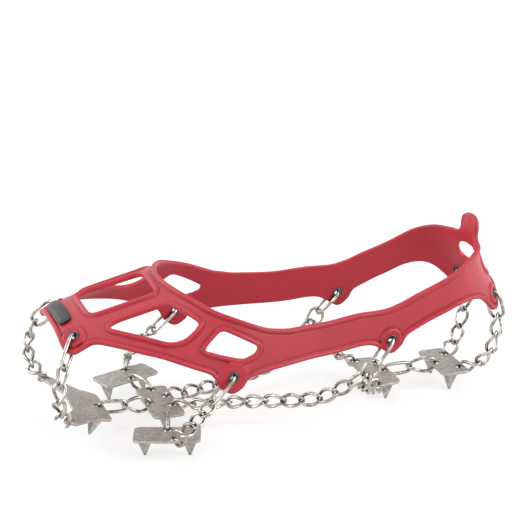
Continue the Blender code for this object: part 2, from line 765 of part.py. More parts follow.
# Where each inner contact of the toe and ball chains of the left side faces.
TOE_LIE = ((-0.05, -1.0, 0.08), (-0.05, -1.0, 0.08), (-0.05, -1.0, 0.08))
BALL_LIE = ((0.20, -0.95, -0.25), (0.20, -0.95, -0.25), (-0.45, -0.85, 0.26))
for hand, tag in ((1, "left"), (-1, "right")):
    near = "plate_ball_left" if hand == 1 else "plate_ball_right"
    # Where each eyelet link meets the next link.
    link_ends = {
        "toe": (-118.6, -36.8, 58.6),
        "ball": (-40.5, -58.6, 35.4),
        "side": (63.4, -45.2, 38.8),
        "rear": (155.8, -21.8, 48.4),
    }
    starts = {}
    outs = {}
    for spot, pattern in EYES.items():
        outward = flip(axes(*pattern)[2], hand)
        centre = flip(lift(pattern, -WALL / 2), hand)
        eyelet(f"eyelet_{spot}_{tag}", centre, outward)
        finish = flip(link_ends[spot], hand)
        if spot == "rear":
            finish = finish - outward * ((finish - centre) @ outward - REAR_LEAN)
        pull = finish - centre
        pull = pull - outward * (pull @ outward)
        begin = centre + pull / np.linalg.norm(pull) * EYELET_BEARING
        run(f"eyelet_link_{spot}_{tag}", (begin, finish), (1,), outward, outward, 1, EYELET_LINK_HALF_WIDTH)
        starts[spot] = finish
        outs[spot] = outward

    left_hole = 0 if hand == 1 else 1
    right_hole = 1 - left_hole
    toe_via = [flip(p, hand) for p in ((-121.4, -39.8, 50.6), (-122.9, -40.4, 41.6), (-122.4, -38.2, 33.0))]
    run(
        f"toe_chain_{tag}",
        [starts["toe"], *toe_via, hole_contact("plate_front", left_hole, toe_via[-1])],
        (1, 1, 1, 1), outs["toe"], DOWN, hand=hand, lie=[flip(d, hand) for d in TOE_LIE],
    )
    ball_via = [flip(p, hand) for p in ((-47.0, -60.4, 29.4), (-54.0, -60.6, 22.2), (-58.6, -58.8, 17.6))]
    run(
        f"ball_chain_{tag}",
        [starts["ball"], *ball_via, hole_contact(near, left_hole, ball_via[-1])],
        (1, 1, 1, 1), outs["ball"], DOWN, hand=hand, lie=[flip(d, hand) for d in BALL_LIE],
    )
    knot = flip((58.3, -44.6, 31.6), hand)
    run(
        f"junction_link_{tag}", (starts["side"], knot), (1,),
        outs["side"], outs["side"], 0, JUNCTION_HALF_WIDTH, 0,
    )
    fall = (knot - starts["side"]) / np.linalg.norm(knot - starts["side"])
    spread = np.cross(fall, outs["side"]) * -hand * JUNCTION_SPREAD
    seat = knot - fall * JUNCTION_BEARING
    heel_via = [flip(p, hand) for p in ((58.6, -39.6, 23.8), (64.4, -32.0, 16.8))]
    run(
        f"heel_chain_{tag}",
        [seat + spread, *heel_via, hole_contact("plate_heel_front", left_hole, heel_via[-1])],
        (4,), outs["side"], DOWN, 1, hand=hand,
    )
    arch_via = ((49.6, -41.6, 26.6), (41.5, -36.6, 20.5), (31.0, -30.0, 14.5), (-6.0, -16.0, 12.7))
    arch_via = [flip(p, hand) for p in arch_via]
    run(
        f"arch_chain_{tag}",
        [seat - spread, *arch_via, hole_contact("plate_ball_centre", 3 if hand == 1 else 4, arch_via[-1])],
        (5, 6), outs["side"], DOWN, 1, hand=hand,
    )
    rear_via = [flip(p, hand) for p in ((153.4, -22.2, 37.6), (151.2, -21.8, 28.0), (147.2, -19.0, 18.6))]
    run(
        f"rear_chain_{tag}",
        [starts["rear"], *rear_via, hole_contact("plate_heel_rear", left_hole, rear_via[-1])],
        (1, 1, 1, 1), outs["rear"], DOWN, hand=hand,
    )
    inner = on_plate(near, *PLATES[near][1][right_hole])
    outer = on_plate("plate_ball_centre", *PLATES["plate_ball_centre"][1][left_hole])
    run(
        f"tie_ball_{tag}",
        (hole_contact(near, right_hole, outer), hole_contact("plate_ball_centre", left_hole, inner)),
        (1,), DOWN, DOWN, 1,
    )

front_hole = on_plate("plate_front", *PLATES["plate_front"][1][2])
centre_hole = on_plate("plate_ball_centre", *PLATES["plate_ball_centre"][1][2])
run(
    "tie_front",
    (hole_contact("plate_front", 2, centre_hole), hole_contact("plate_ball_centre", 2, front_hole)),
    (2,), DOWN, DOWN, 1,
)
heel_hole = on_plate("plate_heel_front", *PLATES["plate_heel_front"][1][2])
rear_hole = on_plate("plate_heel_rear", *PLATES["plate_heel_rear"][1][2])
run(
    "tie_heel",
    (hole_contact("plate_heel_front", 2, rear_hole), hole_contact("plate_heel_rear", 2, heel_hole)),
    (2,), DOWN, DOWN, 1,
)

# The origin goes to the middle of the length, under the part.
bpy.context.view_layer.update()
graph = bpy.context.evaluated_depsgraph_get()
reach = []
for obj in PART.objects:
    if obj != FRAME:
        shape = obj.evaluated_get(graph)
        reach += [(obj.matrix_world @ v.co).x for v in shape.to_mesh().vertices]
        shape.to_mesh_clear()
FRAME.location.x = -(min(reach) + max(reach)) / 2
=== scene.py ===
"""Looks of the shoe ice cleats: moulded red harness, eyelets, twisted-link chain and spike plates.

Lengths are millimetres in the part's own drawing frame until a mesh is made. Toe towards -X, left at -Y.
"""

import json
import math

import bmesh
import bpy
import numpy as np
from mathutils import Euler, Matrix, Vector, kdtree
from mathutils.geometry import delaunay_2d_cdt

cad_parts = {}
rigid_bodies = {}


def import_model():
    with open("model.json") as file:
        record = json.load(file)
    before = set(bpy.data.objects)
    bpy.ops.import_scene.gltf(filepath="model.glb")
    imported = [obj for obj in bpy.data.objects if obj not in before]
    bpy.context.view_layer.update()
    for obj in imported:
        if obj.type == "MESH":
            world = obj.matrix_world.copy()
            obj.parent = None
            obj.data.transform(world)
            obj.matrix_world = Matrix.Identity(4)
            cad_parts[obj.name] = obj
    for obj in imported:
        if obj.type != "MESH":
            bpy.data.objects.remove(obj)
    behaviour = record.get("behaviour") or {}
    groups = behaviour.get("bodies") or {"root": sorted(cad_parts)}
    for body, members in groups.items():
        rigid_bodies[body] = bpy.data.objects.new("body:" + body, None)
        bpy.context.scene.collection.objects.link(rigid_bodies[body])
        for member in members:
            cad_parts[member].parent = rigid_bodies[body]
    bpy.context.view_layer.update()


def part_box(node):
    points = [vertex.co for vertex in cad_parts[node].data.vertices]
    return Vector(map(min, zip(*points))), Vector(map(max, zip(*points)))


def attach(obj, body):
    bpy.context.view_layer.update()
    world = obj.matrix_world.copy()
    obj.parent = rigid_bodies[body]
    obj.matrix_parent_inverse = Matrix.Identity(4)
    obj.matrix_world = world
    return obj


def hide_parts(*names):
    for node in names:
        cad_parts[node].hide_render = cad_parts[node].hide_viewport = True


for old in list(bpy.data.objects):
    bpy.data.objects.remove(old)
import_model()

MM = 0.001
# Points closer than this, in metres, are one point, and points this near the middle plane, in mm, lie on it.
WELD = 0.00001
ON_PLANE = 0.002
# Half the step with which the form's directions are measured.
NUDGE = 0.05

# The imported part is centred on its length. A plate whose place is known gives the shift back.
HEEL_PLATE_X = 83.0
heel_low, heel_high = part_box("plate_heel_front")
SHIFT = Vector(((heel_low.x + heel_high.x) / 2 - HEEL_PLATE_X * MM, 0, 0))

# Boot form under the harness.
STATION = (-140, -125, -112, -98, -75, -50, -27, 0, 30, 60, 85, 110, 145, 180)
HALF_WIDTH = (22, 36, 43, 48, 54, 57, 57.5, 54, 48, 44.5, 43, 42, 46, 50.5)
ARCH_HEIGHT = (24, 31, 37, 42, 47, 53, 64, 82, 100, 112, 115, 114, 117, 120)
ROUNDNESS = (2.5, 2.5, 2.5, 2.5, 2.5, 2.5, 2.5, 2.5, 2.5, 2.5, 2.5, 2.4, 1.9, 1.5)
FORM_BASE = 40.0
HEEL_X = 110.0
BACK = 180.0
HEEL_ARC = (BACK - HEEL_X) / (math.pi / 2)
SECTION_STEPS = 240
# How far the heel stands out from that form, by height above its base, growing from one station to another.
FLARE_RISE = (0, 15, 24, 29, 33, 37, 41, 48, 55, 61, 68, 80, 120)
FLARE = (4.0, 2.9, 1.6, 0.5, -1.0, -2.8, -4.2, -5.0, -3.8, -1.6, 0.3, 0.5, 0.0)
FLARE_STATIONS = (125.0, 165.0)

# Harness wall.
WALL = 3.2
RIM = 2.5
RIM_SLOPE = 0.6
RIM_CROWN = 0.45
WEB_DROP = 1.35
EDGE_ROUND = 0.8
UNDER_ROUND = 0.7
GROOVE = 0.3
EDGE_STEP = 1.2
WEB_STEP = 2.6
EDGE_ROWS = (0.1, 0.3, 0.6, 0.95, 1.3, 1.7, 2.1, 2.4, 2.7, 2.95, 3.2, 3.5, 3.9, 4.6)
EYE_ROWS = (0.15, 0.5, 1.0, 1.4, 1.7, 2.0, 2.3, 2.7, 3.1, 3.5, 3.75, 4.0, 4.25, 4.5, 4.9, 5.5)
EYE_CLEAR = 9.5
EYE_STEPS = 24
# How the field of the wall is filled: the share of its distance that a row's point keeps from other edges,
# the gap between an eyelet's rows and an edge, the height of a row of triangles and the gap to the last row,
# both in spacings.
ROW_SHARE = 0.85
EYE_ROW_GAP = 0.4
LATTICE_ROW = 0.87
LATTICE_GAP = 0.5
INSIDE_NUDGE = (-0.001, 0.001)
MERGE = 1e-6
EDGE_SAMPLES = 8
# Radius of the raised boss round each eyelet, and how deep the well in it is.
BOSSES = {"toe": (6.6, 0.4), "ball": (8.8, 0.0), "side": (6.6, 0.4), "rear": (6.2, 0.0)}
WELL_RADIUS = 4.7
WELL_SLOPE = 0.6
# The rim fades out from this far inside a boss to this far outside it.
BOSS_IN = 1.2
BOSS_OUT = 0.2
RIM_CLEAR = 0.6
RING_WIDTH = 0.5
GROOVE_WIDTH = 0.45
EYE_ROUND = 0.3
# The pull tab swells round its middle.
TAB_SWELL = 0.7
TAB_REACH = (5.0, 9.0)

# Toe patch: a border that stands proud, a field set back from it, and the wall sunk in the harness.
PATCH_PROUD = 0.55
PATCH_DROP = 0.22
PATCH_SLOPE = (1.0, 1.6)
PATCH_ROUND = 0.5
PATCH_SUNK = 0.7
PATCH_EDGE_STEP = 0.8
PATCH_STEP = 1.2
PATCH_ROWS = (0.15, 0.5, 1.0, 1.3, 1.6)

# Eyelets.
EYELET_BORE = 4.2
EYELET_BARREL = 5.2
EYELET_FLANGE = 6.4
EYELET_LIP = 0.55
EYELET_PROUD = 0.05
EYELET_STEPS = 48
LIP_STEPS = 11
HOLE_GAP = 0.3

# Chain.
WIRE = 2.2
WIRE_BEVEL = 4
# Share of the wire's thickness worn away at the ends of a link.
END_WEAR = 0.17
LINK_STEPS = 48
LINK_TURN = np.linspace(0, 2 * math.pi, LINK_STEPS, endpoint=False)
PATH_STEPS = 40
LINK_REACH = 1.275
# Squareness of a link's outline, and of one whose half length passes this many half widths.
LINK_FORM = 2.4
LONG_LINK_FORM = 3.2
LONG_LINK = 2.2
LINK_HALF_WIDTH = 3.4
PLATE_LINK_HALF_WIDTH = 4.2
EYELET_LINK_HALF_WIDTH = 4.2
JUNCTION_HALF_WIDTH = 4.8
JUNCTION_SPREAD = 1.7
JUNCTION_BEARING = 0.6
EYELET_BEARING = 0.4
REAR_LEAN = -1.0
HOLE_BEARING = 1.6

# Spike plates.
PLATE_THICK = 1.6
PLATE_TOP = 13.5
PLATE_CORNER = 4.0
CORNER_SHARE = 0.45
PLATE_EDGE = 0.3
PLATE_BEVEL = 2
SHARP_ANGLE = math.radians(40)
HOLE = 5.4
HOLE_STEPS = 40
SPIKE_WIDTH = 10.0
SPIKE_DEPTH = 3.6
SPIKE_WALL = 1.5
SPIKE_REACH = 13.5
SPIKE_TIP_WIDTH = 1.0
SPIKE_TIP_DEPTH = 0.1
SPIKE_TIP_WALL = 0.5
SPIKE_TAPER = 0.92
SPIKE_ROOT = 0.5
SPIKE_COLUMNS = 41
SPIKE_ROWS = 36
# The fold across a spike: its crest, the fall to both sides, and how softly it turns.
FOLD_CREST = 0.5
FOLD_SLOPE = 1.15
FOLD_SOFT = 0.02
FOLD_SOFT_DROP = 0.14
# Punch mark at the root of each spike.
SPIKE_MARK = 1.8
SPIKE_MARK_DROP = 1.8
SPIKE_MARK_DEPTH = 1.1
SPIKE_MARK_IN = 0.35
SPIKE_MARK_OUT = 0.15

# Camera, found from points of the photograph.
AZIMUTH = math.radians(-19.49)
ELEVATION = math.radians(19.31)
DISTANCE = 973.54
TARGET = (8.48, 0.0, 93.95)
LENS = 115.49
SENSOR = 36.0
NEAR = 0.01

# Studio, in metres. The floor's white grows from its strength beside the object to full strength far away.
FLOOR_HALF = 4.0
FLOOR_COLOUR = (0.55, 0.55, 0.55, 1)
FLOOR_ROUGHNESS = 0.8
FLOOR_GLOSS = 0.1
FLOOR_GLOW = {"From Min": 0.2, "From Max": 1.0, "To Min": 0.56, "To Max": 1.0}
WHITE = (1, 1, 1, 1)
AMBIENT = 0.38
# Place, size and power of each lamp, and the point that all of them face.
LAMPS = {
    "right": ((1.0, -0.7, 0.6), (1.2, 1.0), 13),
    "left": ((-1.1, -0.5, 0.6), (1.2, 1.0), 8),
    "top": ((0.0, 0.2, 1.4), (1.2, 0.8), 4),
    "back": ((-1.0, 0.9, 0.6), (1.2, 1.0), 8),
}
LAMP_AIM = Vector((0, 0, 0.05))

# Noise of the finishes: the broad patches, the part of their range that is used, and the fine grain.
CLOUD = {"Detail": 6.0, "Roughness": 0.62}
CLOUD_SPAN = {"From Min": 0.32, "From Max": 0.68}
GRAIN = {"Detail": 4.0, "Roughness": 0.6}
CORNER_SAMPLES = 8
# A mix node's two colours and its mixed colour, by the numbers of their sockets.
MIX_COLOURS = (6, 7)
MIX_RESULT = 2


def monotone(xs, ys):
    """A smooth curve through the points that never overshoots them."""
    xs = np.array(xs, float)
    ys = np.array(ys, float)
    width = np.diff(xs)
    rise = np.diff(ys) / width
    slope = np.zeros(len(xs))
    slope[0] = rise[0]
    slope[-1] = rise[-1]
    for i in range(1, len(xs) - 1):
        if rise[i - 1] * rise[i] > 0:
            one = 2 * width[i] + width[i - 1]
            two = width[i] + 2 * width[i - 1]
            slope[i] = (one + two) / (one / rise[i - 1] + two / rise[i])

    def value(x):
        x = np.clip(x, xs[0], xs[-1])
        i = np.clip(np.searchsorted(xs, x, "right") - 1, 0, len(xs) - 2)
        t = (x - xs[i]) / width[i]
        a = (1 + 2 * t) * (1 - t) ** 2 * ys[i] + t * (1 - t) ** 2 * width[i] * slope[i]
        b = t * t * (3 - 2 * t) * ys[i + 1] + t * t * (t - 1) * width[i] * slope[i + 1]
        return a + b

    return value


def smooth(low, high, value):
    """0 below low, 1 above high, and an even curve between them."""
    t = np.clip((value - low) / (high - low), 0, 1)
    return t * t * (3 - 2 * t)


half_width = monotone(STATION, HALF_WIDTH)
arch_height = monotone(STATION, ARCH_HEIGHT)
roundness = monotone(STATION, ROUNDNESS)
flare = monotone(FLARE_RISE, FLARE)
flare_share = monotone(FLARE_STATIONS, (0, 1))


def section(a):
    """Distance from the middle, height and girth of the form at stations, from the side up to the top."""
    power = 2 / roundness(a)[:, None]
    turn = np.linspace(0, math.pi / 2, SECTION_STEPS)[None, :]
    out = half_width(a)[:, None] * np.maximum(np.cos(turn), 0) ** power
    high = FORM_BASE + arch_height(a)[:, None] * np.sin(turn) ** power
    out = out + flare_share(a)[:, None] * flare(high - FORM_BASE)
    grown = np.cumsum(np.hypot(np.diff(out), np.diff(high)), axis=1)
    out[:, -1] = 0
    return out, high, np.hstack((np.zeros((len(a), 1)), grown))


def surface(points):
    """Points of the form at (station, girth down from the top line). Positive girth is the wearer's left."""
    a, c = np.asarray(points, float).reshape(-1, 2).T
    out, high, girth = section(np.minimum(a, 2 * BACK - a))
    up = girth[:, -1] - np.abs(c)
    row = np.arange(len(a))
    i = np.clip((girth <= up[:, None]).sum(axis=1) - 1, 0, SECTION_STEPS - 2)
    t = np.maximum((up - girth[row, i]) / (girth[row, i + 1] - girth[row, i]), 0)
    rho = out[row, i] + (out[row, i + 1] - out[row, i]) * t
    z = high[row, i] + (high[row, i + 1] - high[row, i]) * t + np.minimum(up, 0)
    hand = np.where(c >= 0, -1, 1)
    turn = np.maximum(a - HEEL_X, 0) / HEEL_ARC
    x = np.minimum(a, HEEL_X) + np.where(a > HEEL_X, rho * np.sin(turn), 0)
    return np.stack((x, hand * rho * np.cos(turn), z), axis=1)


def axes(points):
    """Directions along and down the form at pattern points, and its outward normals."""
    points = np.asarray(points, float).reshape(-1, 2)
    along = (surface(points + (NUDGE, 0)) - surface(points - (NUDGE, 0))) / (2 * NUDGE)
    down = (surface(points + (0, NUDGE)) - surface(points - (0, NUDGE))) / (2 * NUDGE)
    normal = np.cross(down, along)
    return along, down, normal / np.linalg.norm(normal, axis=1, keepdims=True)


def shift(points, step):
    """Moves pattern points by steps given in space."""
    along, down, _ = axes(points)
    aa = (along * along).sum(axis=1)
    ad = (along * down).sum(axis=1)
    dd = (down * down).sum(axis=1)
    sa = (along * step).sum(axis=1)
    sd = (down * step).sum(axis=1)
    scale = aa * dd - ad * ad
    move = np.stack(((dd * sa - ad * sd) / scale, (aa * sd - ad * sa) / scale), axis=1)
    return np.asarray(points, float) + move


def side(a, rise):
    """The pattern point on the left at station a, a height above the form's base."""
    _, high, girth = section(np.array([float(a)]))
    up = np.interp(FORM_BASE + rise, high[0], girth[0]) if rise > 0 else rise
    return a, girth[0, -1] - up


def lift(points, height):
    """Points at a height above the form."""
    return surface(points) + axes(points)[2] * np.reshape(height, (-1, 1))


def mirrored(point, line):
    """A pattern point seen in the top line or in the back line."""
    return np.array((point[0], -point[1])) if line == "top" else np.array((2 * BACK - point[0], point[1]))


def cubic(p0, p1, p2, p3, t):
    """A point between p1 and p2 on a smooth line through all four."""
    curve = 2 * p1 + (p2 - p0) * t + (2 * p0 - 5 * p1 + 4 * p2 - p3) * t * t
    return 0.5 * (curve + (3 * p1 - p0 - 3 * p2 + p3) * t**3)


def spline(points, step, start=None, end=None):
    """A smooth line through pattern points, closed unless it starts and ends on a mirror line."""
    points = [np.array(p, float) for p in points]
    if start is None:
        ring = [points[-1]] + points + points[:2]
    else:
        ring = [mirrored(points[1], start)] + points + [mirrored(points[-2], end)]
    line = []
    for p0, p1, p2, p3 in zip(ring, ring[1:], ring[2:], ring[3:]):
        count = max(1, round(np.linalg.norm(p2 - p1) / step))
        line += [cubic(p0, p1, p2, p3, t) for t in np.arange(count) / count]
    if start is not None:
        line.append(points[-1])
    return np.array(line)


def inset(line, distances, start, end):
    """The line moved into the wall by each distance along the form, with that distance for each point."""
    if start is None:
        before = np.roll(line, 1, axis=0)
        after = np.roll(line, -1, axis=0)
    else:
        before = np.vstack((mirrored(line[1], start), line[:-1]))
        after = np.vstack((line[1:], mirrored(line[-2], end)))
    inward = np.cross(axes(line)[2], surface(after) - surface(before))
    inward = inward / np.linalg.norm(inward, axis=1, keepdims=True)
    step = shift(line, inward) - line
    rows = []
    for distance in distances:
        moved = line + step * distance
        for i, at in ((0, start), (-1, end)):
            if at == "top":
                moved[i, 1] = 0
            if at == "back":
                moved[i, 0] = BACK
        rows.append(moved)
    return np.vstack(rows), np.repeat(distances, len(line))


def inside(points, loops):
    """Which points lie within an odd number of loops."""
    odd = np.zeros(len(points), bool)
    x, y = points.T
    for loop in loops:
        for (x0, y0), (x1, y1) in zip(loop, np.roll(loop, -1, axis=0)):
            if y0 != y1:
                odd ^= ((y0 > y) != (y1 > y)) & (x < x0 + (y - y0) / (y1 - y0) * (x1 - x0))
    return odd


def clockwise(loop):
    """A hole's line, turned so that the wall is on the same side as along the outside edge."""
    x, y = loop.T
    area = (x * np.roll(y, -1) - np.roll(x, -1) * y).sum()
    return loop if area > 0 else loop[::-1]


def circle(centre, radius, count):
    """A circle in space round a pattern point, as pattern points."""
    along, _, normal = (v[0] for v in axes([centre]))
    one = along / np.linalg.norm(along)
    two = np.cross(normal, one)
    turns = np.linspace(0, 2 * math.pi, count, endpoint=False)[:, None]
    return shift(np.repeat([centre], count, axis=0), radius * (np.cos(turns) * one + np.sin(turns) * two))


def rounding(distance, radius):
    """How far a rounded edge falls away at a distance in from it."""
    t = 1 - np.clip(distance / radius, 0, 1)
    return radius * (1 - np.sqrt(1 - t * t))


def nearness(lines):
    """A function giving the distance in space from points of the form to lines on it."""
    samples = []
    for line, start, _ in lines:
        ends = np.vstack((line, line[:1])) if start is None else line
        steps = np.linspace(0, 1, EDGE_SAMPLES, endpoint=False)[None, :, None]
        samples.append((ends[:-1, None] + (ends[1:] - ends[:-1])[:, None] * steps).reshape(-1, 2))
    samples = surface(np.vstack(samples))
    tree = kdtree.KDTree(len(samples))
    for i, sample in enumerate(samples):
        tree.insert(sample, i)
    tree.balance()
    return lambda points: np.array([tree.find(p)[2] for p in points])


def moulded(pieces, holes, eyes, rows, spacing, relief, floor):
    """A wall over the form as (points, faces, web).

    pieces join end to end round the outside. pieces, holes and eyes are (line, start, end). relief takes the
    pattern points, their distance from an edge and from each eye, and gives heights and how much is web.
    """
    outside = np.vstack([line for line, _, _ in pieces])
    loops = [outside] + [line for line, _, _ in holes + eyes]
    edges = []
    first = 0
    walls = []
    for line, start, _ in pieces + holes + eyes:
        ring = first + np.arange(len(line))
        walls += list(zip(ring, np.roll(ring, -1)))[: len(ring) - (start is not None)]
        first += len(line)
    first = 0
    for loop in loops:
        ring = first + np.arange(len(loop))
        edges += [(int(i), int(j)) for i, j in zip(ring, np.roll(ring, -1))]
        first += len(loop)
    to_edge = nearness(pieces + holes)
    extra = []
    for line, start, end in pieces + holes:
        found, row = inset(line, rows, start, end)
        extra.append(found[to_edge(surface(found)) > ROW_SHARE * row])
    for line, start, end in eyes:
        found, _ = inset(line, EYE_ROWS, start, end)
        extra.append(found[to_edge(surface(found)) > EYE_ROW_GAP])
    low = outside.min(axis=0)
    high = outside.max(axis=0)
    for number, y in enumerate(np.arange(low[1], high[1], spacing * LATTICE_ROW)):
        x = np.arange(low[0] + (number % 2) * spacing / 2, high[0], spacing)
        lattice = np.stack((x, np.full(len(x), y)), axis=1)
        lattice = lattice[inside(lattice, loops)]
        clear = to_edge(surface(lattice)) > rows[-1] + LATTICE_GAP * spacing
        for eye in EYES.values() if eyes else ():
            clear &= np.linalg.norm(surface(lattice) - surface([eye])[0], axis=1) > EYE_CLEAR
        extra.append(lattice[clear])
    extra = np.vstack(extra)
    keep = inside(extra + INSIDE_NUDGE, loops)
    points = np.vstack((*loops, extra[keep]))
    found = delaunay_2d_cdt([Vector(p) for p in points], edges, [], 0, MERGE)
    where = [source[0] for source in found[3]]
    faces = np.array([[where[i] for i in face] for face in found[2]])
    faces = faces[inside(points[faces].mean(axis=1), loops)]
    base = surface(points)
    edge = to_edge(base)
    eye = np.stack([np.linalg.norm(base - surface([c])[0], axis=1) for c in EYES.values()], axis=1)
    height, web = relief(points, edge, eye)
    normal = axes(points)[2]
    upper = base + normal * height[:, None]
    lower = base + normal * (floor + rounding(edge, UNDER_ROUND))[:, None]
    count = len(points)
    solid = [tuple(f) for f in faces]
    solid += [(c + count, b + count, a + count) for a, b, c in faces]
    solid += [(i, i + count, j + count, j) for i, j in walls]
    return np.vstack((upper, lower)), solid, np.concatenate((web, web * 0))


def show(obj, body, slot, *nodes):
    """Puts a piece on its body and lets it stand for CAD nodes."""
    bpy.context.scene.collection.objects.link(obj)
    obj.location = SHIFT
    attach(obj, body)
    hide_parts(*nodes)
    return obj


def mesh_object(name, verts, faces, material, web=None):
    """A smooth mesh object from millimetre points, its faces turned outwards."""
    mesh = bpy.data.meshes.new(name)
    mesh.from_pydata([Vector(v) * MM for v in verts], [], [tuple(int(i) for i in f) for f in faces])
    if web is not None:
        mesh.attributes.new("web", "FLOAT", "POINT").data.foreach_set("value", np.asarray(web, np.float32))
    bm = bmesh.new()
    bm.from_mesh(mesh)
    bmesh.ops.remove_doubles(bm, verts=bm.verts[:], dist=WELD)
    bmesh.ops.recalc_face_normals(bm, faces=bm.faces[:])
    bm.to_mesh(mesh)
    bm.free()
    mesh.shade_smooth()
    mesh.materials.append(material)
    return bpy.data.objects.new(name, mesh)


# Pattern of the left half. Each point is (station, girth from the top line) or side(station, rise).
EYES = {
    "toe": (-110.3, 27.7),
    "ball": side(-27.4, 8.0),
    "side": side(74.5, 11.4),
    "rear": side(156.0, 24.5),
}
TOE_TO_HEEL = [
    (-118.8, 0.0), (-118.7, 8.0), (-118.5, 19.6), (-117.9, 29.0), (-116.2, 34.6), (-111.8, 38.4),
    (-106.5, 38.6), (-100.5, 39.2), (-91.3, 45.7), side(-78.0, 25.6), side(-64.3, 21.3),
    side(-43.4, 12.3), side(-38.0, 8.0), side(-34.6, 1.8), side(-27.9, -2.4), side(-21.2, 0.6),
    side(-16.9, 5.2), side(-4.1, 7.1), side(15.8, 8.2), side(40.9, 8.9), side(60.0, 9.9),
    side(67.0, 7.0), side(74.7, 2.6), side(81.2, 6.6), side(85.0, 12.2), side(92.6, 16.0),
    side(102.5, 20.0), side(117.8, 25.4), side(130.5, 27.4), side(139.0, 25.6), side(146.5, 20.0),
    side(151.0, 15.6), side(156.5, 14.2), side(161.5, 16.2), side(166.0, 21.5), side(172.0, 25.6),
    side(180.0, 26.8),
]
HEEL_WINDOW = [
    side(180.0, 34.0), side(168.0, 34.8), side(162.6, 38.0), side(161.8, 42.6), side(165.4, 46.8),
    side(171.5, 48.6), side(180.0, 49.0),
]
TAB_TO_APEX = [
    side(180.0, 68.0), side(172.8, 67.2), side(168.6, 64.4), side(167.6, 60.4), side(167.4, 57.0),
    side(164.0, 54.6), side(155.0, 54.0), side(140.0, 53.4), side(126.0, 50.0), side(112.4, 44.4),
    side(92.3, 37.0), side(79.3, 32.2), side(65.6, 30.1), side(36.8, 29.0), side(12.8, 29.4),
    side(1.4, 30.9), side(-6.5, 33.1), side(-20.1, 39.0), side(-33.0, 44.2), (-40.3, 39.6),
    (-46.5, 28.0), (-51.0, 14.5), (-52.6, 0.0),
]
TOP_WINDOW = [
    (-59.8, 0.0), (-59.9, 11.5), (-60.9, 15.6), (-65.0, 17.0), (-78.0, 17.3), (-92.0, 17.6),
    (-96.6, 16.6), (-98.3, 12.5), (-98.6, 0.0),
]
SIDE_WINDOW = [
    side(-90.4, 37.7), side(-85.5, 39.8), side(-74.0, 42.6), side(-61.4, 45.4), side(-56.6, 46.0),
    side(-53.2, 45.0), side(-44.4, 39.6), side(-45.0, 37.2), side(-48.4, 34.4), side(-53.4, 31.6),
    side(-59.8, 30.6), side(-66.2, 31.8), side(-86.5, 36.4),
]
REAR_WINDOW = [
    side(-41.8, 25.6), side(-34.6, 32.4), side(-31.4, 33.8), side(-27.6, 32.6), side(-14.4, 25.0),
    side(-11.4, 22.4), side(-12.8, 19.6), side(-17.4, 17.8), side(-22.1, 17.6), side(-38.0, 23.0),
]
PATCH = [
    (-115.2, -16.0), (-115.2, 10.0), (-114.2, 13.4), (-111.6, 14.4), (-109.0, 13.2), (-108.0, 10.0),
    (-108.0, -16.0), (-109.0, -19.4), (-111.6, -20.6), (-114.2, -19.4),
]
TAB_MIDDLE = side(180.0, 61.5)


def harness_relief(points, edge, eye):
    """A rounded rim along every edge, a raised boss round each eyelet and a web set back between them."""
    web = smooth(RIM, RIM + RIM_SLOPE, edge)
    bead = np.clip(1 - ((edge - RIM / 2) / (RIM / 2)) ** 2, 0, 1)
    level = RIM_CROWN * (bead - 1)
    well = 0
    for (radius, drop), r in zip(BOSSES.values(), eye.T):
        web = web * smooth(radius, radius + RIM_SLOPE, r)
        level = level * smooth(radius - BOSS_IN, radius + BOSS_OUT, r)
        clear = smooth(RIM * RIM_CLEAR, RIM, edge)
        well = well + drop * (1 - smooth(WELL_RADIUS, WELL_RADIUS + WELL_SLOPE, r)) * clear
        well = well + drop * np.exp(-(((r - radius - RIM_SLOPE) / RING_WIDTH) ** 2)) * clear
    height = level - (WEB_DROP - RIM_CROWN) * web - well - rounding(edge, EDGE_ROUND)
    height -= rounding(eye.min(axis=1) - EYELET_BARREL / 2 - HOLE_GAP, EYE_ROUND)
    height -= GROOVE * np.exp(-(((edge - RIM - RIM_SLOPE) / GROOVE_WIDTH) ** 2)) * web
    tab = np.linalg.norm(surface(points) - surface([TAB_MIDDLE])[0], axis=1)
    height += TAB_SWELL * (1 - smooth(*TAB_REACH, tab))
    return height, web


def patch_relief(points, edge, eye):
    """A pad with a soft raised border."""
    field = smooth(*PATCH_SLOPE, edge)
    return PATCH_PROUD - PATCH_DROP * field - rounding(edge, PATCH_ROUND), field


def node(tree, kind, inputs=None, **settings):
    """Adds a shader node, sets its properties, and sets or links its inputs."""
    made = tree.nodes.new(kind)
    for key, value in settings.items():
        setattr(made, key, value)
    for key, value in (inputs or {}).items():
        if isinstance(value, bpy.types.NodeSocket):
            tree.links.new(value, made.inputs[key])
        else:
            made.inputs[key].default_value = value
    return made


def blended(tree, share, first, second):
    """A colour between two colours, each a constant or a socket."""
    mix = node(tree, "ShaderNodeMix", {"Factor": share}, data_type="RGBA")
    for key, value in zip(MIX_COLOURS, (first, second)):
        if isinstance(value, bpy.types.NodeSocket):
            tree.links.new(value, mix.inputs[key])
        else:
            mix.inputs[key].default_value = value
    return mix.outputs[MIX_RESULT]


